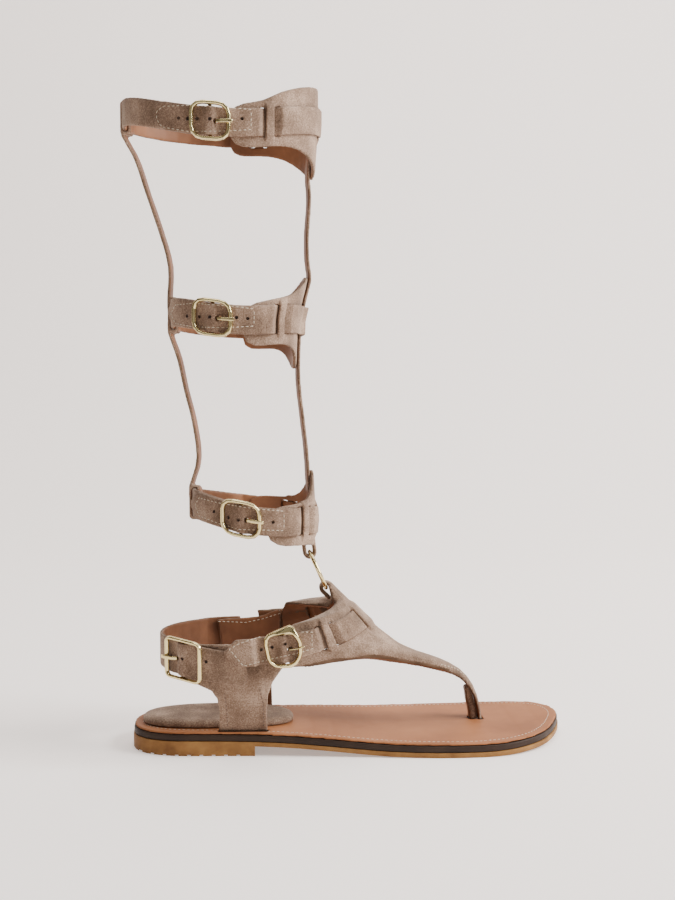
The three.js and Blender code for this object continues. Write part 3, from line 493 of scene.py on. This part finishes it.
def seats(tree, pixels):
    spans = len(pixels) - 1
    table = np.array(pixels, float)
    order = np.arange(len(pixels))
    along = np.linspace(0, spans, stitch["raysPerSpan"] * spans + 1)
    dense = [(np.interp(t, order, table[:, 0]), np.interp(t, order, table[:, 1])) for t in along]
    found = hitsFor(tree, dense)
    if len(found) < stitch["fewest"]:
        return []
    spots = evenly([place for place, normal in found], stitch["pitch"])
    lasting = []
    for spot in spots:
        place, normal, index, distance = tree.find_nearest(Vector(spot))
        lasting.append((place, normal))
    return lasting


def sew(name, lines, material):
    corners, faces = modelStitch()
    allCorners = []
    allFaces = []
    for line in lines:
        for k, (place, normal) in enumerate(line):
            before = line[max(k - 1, 0)][0]
            after = line[min(k + 1, len(line) - 1)][0]
            ahead = after - before
            ahead = (ahead - normal * ahead.dot(normal)).normalized()
            aside = normal.cross(ahead)
            turn = np.array([ahead, aside, normal])
            base = len(allCorners) * len(corners)
            allCorners.append(corners @ turn + np.array(place))
            allFaces.extend([[base + v for v in face] for face in faces])
    mesh = bpy.data.meshes.new(name)
    mesh.from_pydata(np.concatenate(allCorners).tolist(), [], allFaces)
    mesh.update()
    thread = bpy.data.objects.new(name, mesh)
    bpy.context.scene.collection.objects.link(thread)
    takeUp(thread)
    bpy.ops.object.shade_smooth()
    mesh.materials.append(material)
    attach(thread, "sandal")
    print("stage: thread", name, len(allCorners), "stitches")


# sewn lines as the photograph shows them, in its pixels
creamLines = {
    "top_strap": [
        [(252, 109.5), (226, 107.6), (191, 105.4), (163, 106.3), (157, 111), (156.5, 119), (162, 127),
         (189, 131.4), (226, 131), (252, 129.4)],
        [(251, 111.6), (251, 127.6)],
    ],
    "middle_strap": [
        [(254, 309), (233, 306.2), (193, 303.2), (175, 305), (171, 314), (175, 323.4), (193, 326.8),
         (226, 327.8), (254, 326)],
        [(254, 311), (254, 324.4)],
    ],
    "lower_strap": [
        [(284, 511.2), (256, 509), (220, 503.2), (199, 498), (195, 505), (199, 515.8), (220, 524),
         (240, 529.5), (284, 530.6)],
        [(284, 513.5), (284, 528.6)],
    ],
    "instep_strap": [
        [(314, 632.2), (288, 632), (263, 636), (239, 643.6), (229.5, 649.5), (243.5, 666.2), (265, 660.4),
         (300, 652.6), (314, 648.2)],
        [(312, 634.4), (312, 646.8)],
    ],
    "quarter_medial": [[(200, 622.5), (222, 621.4), (246, 622.4), (262, 619), (286, 611.5)]],
    "toe_post": [[(471, 684), (475, 697), (478, 711)]],
    "vamp": [[(440, 664), (456, 668.4), (465, 675.5)]],
}
darkLines = {
    "quarter_lateral": [
        [(224.4, 692), (226.6, 708), (227.4, 727)],
        [(259.6, 688), (263, 703), (264, 727)],
        [(206, 648.4), (224, 646.6)],
    ],
}

# the seam round the insole, found by looking down on its rim
insoleSeam = {"inset": 4.2 * mm, "middle": (0.118, 0.0), "above": 0.05, "reach": 0.17, "step": 0.5 * mm,
              "rays": 240, "rounds": 3, "level": 0.8}


def insoleLine():
    tree = surfaces["insole"]
    downwards = Vector((0, 0, -1))
    rim = []
    for turn in np.linspace(0, 2 * math.pi, insoleSeam["rays"], endpoint=False):
        away = Vector((math.cos(turn), math.sin(turn), 0))
        reach = insoleSeam["reach"]
        hit = None
        while reach > 0 and hit is None:
            over = Vector((*insoleSeam["middle"], insoleSeam["above"])) + away * reach
            hit = tree.ray_cast(over, downwards)[0]
            reach -= insoleSeam["step"]
        rim.append(hit)
    flat = np.array(rim)
    for smoothing in range(insoleSeam["rounds"]):
        flat = (np.roll(flat, 1, axis=0) + 2 * flat + np.roll(flat, -1, axis=0)) / 4
    along = np.roll(flat, -1, axis=0) - np.roll(flat, 1, axis=0)
    inward = np.stack([-along[:, 1], along[:, 0]], axis=1)
    inward /= np.linalg.norm(inward, axis=1, keepdims=True)
    flat[:, :2] += inward * insoleSeam["inset"]
    closed = np.concatenate([flat, flat[:1]])
    line = []
    for spot in evenly(closed, stitch["pitch"]):
        over = Vector((spot[0], spot[1], insoleSeam["above"]))
        place, normal, index, distance = tree.ray_cast(over, downwards)
        if place is not None and normal.z > insoleSeam["level"]:
            line.append((place, normal))
    return line


creamSeats = [seats(surfaces[name], pixels) for name, lines in creamLines.items() for pixels in lines]
creamSeats.append(insoleLine())
sew("cream_stitches", creamSeats, creamThread)
darkSeats = [seats(surfaces[name], pixels) for name, lines in darkLines.items() for pixels in lines]
sew("brown_stitches", darkSeats, darkThreadAndHoleShade)


# studio: a pale seamless sweep and soft lights
studio = {
    "sweep": "#e6ddd7",
    "sweepGlow": 0.55,
    "size": 9.0,
    "back": 1.6,
    "wall": 3.0,
    "bend": 0.9,
    "bendSteps": 16,
    "rough": 0.9,
    "specular": 0.1,
    "world": "#efe9e4",
    "worldStrength": 0.16,
    "aim": (0.09, 0.0, 0.17),
    "lights": [
        ("keyLight", (1.9, -0.4, 1.3), 1.2, 125.0),
        ("fillLight", (-1.0, -1.9, 1.0), 1.8, 2.5),
        ("topLight", (0.15, 0.3, 2.2), 1.6, 42.0),
    ],
}


def makeStudio():
    deselect()
    middle = (0, studio["back"] - studio["size"] / 2, 0)
    bpy.ops.mesh.primitive_plane_add(size=studio["size"], location=middle)
    sweep = bpy.context.object
    sweep.name = "sweep"
    bpy.ops.object.mode_set(mode="EDIT")
    bpy.ops.mesh.select_mode(type="EDGE")
    bpy.ops.mesh.select_all(action="DESELECT")
    bpy.ops.object.mode_set(mode="OBJECT")
    for edge in sweep.data.edges:
        edge.select = all(sweep.data.vertices[v].co.y > 0 for v in edge.vertices)
    bpy.ops.object.mode_set(mode="EDIT")
    bpy.ops.mesh.extrude_region_move(TRANSFORM_OT_translate={"value": (0, 0, studio["wall"])})
    bpy.ops.object.mode_set(mode="OBJECT")
    for edge in sweep.data.edges:
        edge.select = all(sweep.data.vertices[v].co.y > 0 and sweep.data.vertices[v].co.z < 0.01
                          for v in edge.vertices)
    bpy.ops.object.mode_set(mode="EDIT")
    bpy.ops.mesh.bevel(offset=studio["bend"], segments=studio["bendSteps"])
    bpy.ops.object.mode_set(mode="OBJECT")
    bpy.ops.object.transform_apply(location=True, rotation=True, scale=True)
    bpy.ops.object.shade_smooth()
    material, tree, shader, place = startMaterial("paperSweep", Roughness=studio["rough"],
                                                  Specular_IOR_Level=studio["specular"])
    shader.inputs["Base Color"].default_value = colour(studio["sweep"])
    shader.inputs["Emission Color"].default_value = colour(studio["sweep"])
    shader.inputs["Emission Strength"].default_value = studio["sweepGlow"]
    sweep.data.materials.append(material)
    for name, place, size, power in studio["lights"]:
        bpy.ops.object.light_add(type="AREA", location=place)
        light = bpy.context.object
        light.name = name
        light.data.size = size
        light.data.energy = power
        aim = Vector(studio["aim"]) - Vector(place)
        light.rotation_euler = aim.to_track_quat("-Z", "Y").to_euler()
    world = bpy.context.scene.world or bpy.data.worlds.new("studioWorld")
    bpy.context.scene.world = world
    world.use_nodes = True
    backdrop = world.node_tree.nodes["Background"]
    backdrop.inputs[0].default_value = colour(studio["world"])
    backdrop.inputs[1].default_value = studio["worldStrength"]


makeStudio()
print("stage: studio")
